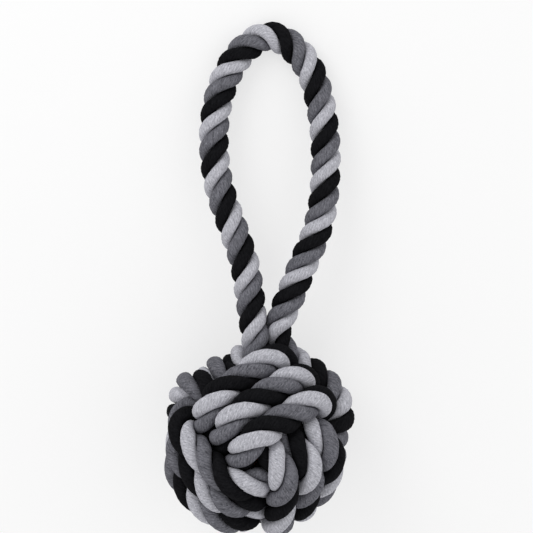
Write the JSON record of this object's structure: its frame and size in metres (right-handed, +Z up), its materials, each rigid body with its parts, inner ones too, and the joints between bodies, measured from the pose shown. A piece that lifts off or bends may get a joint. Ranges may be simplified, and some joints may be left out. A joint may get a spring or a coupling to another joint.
{
  "type": "rope dog toy",
  "caption": "Laid cotton rope tied as a ball knot round a core, with the middle of the rope left out as a hand loop for throwing and tugging.",
  "frame": {"origin": "middle of the whole toy's box, on the ground it lies on", "axes": "+Y from the ball knot to the far end of the hand loop, +Z up off the ground, +X to the right as the picture shows it"},
  "size_m": [0.114, 0.306, 0.1085],
  "materials": {
    "core_rubber": "matt",
    "light_grey_cotton": "matt heathered cotton yarn",
    "black_cotton": "matt cotton yarn",
    "dark_grey_cotton": "matt heathered cotton yarn"
  },
  "bodies": {
    "knot": {"core_ball": "core_rubber", "first_wraps": "light_grey_cotton", "second_wraps": "black_cotton", "third_wraps": "dark_grey_cotton", "leaving_leg": "dark_grey_cotton", "standing_leg": "dark_grey_cotton"},
    "loop": {"hand_loop": "light_grey_cotton"}
  },
  "joints": [
    {"name": "neck_bend", "type": "hinge", "parent": "knot", "child": "loop", "pos_m": [0.00551, -0.03066, 0.04019], "axis": [1, 0, 0], "range_deg": [-45, 45]}
  ]
}
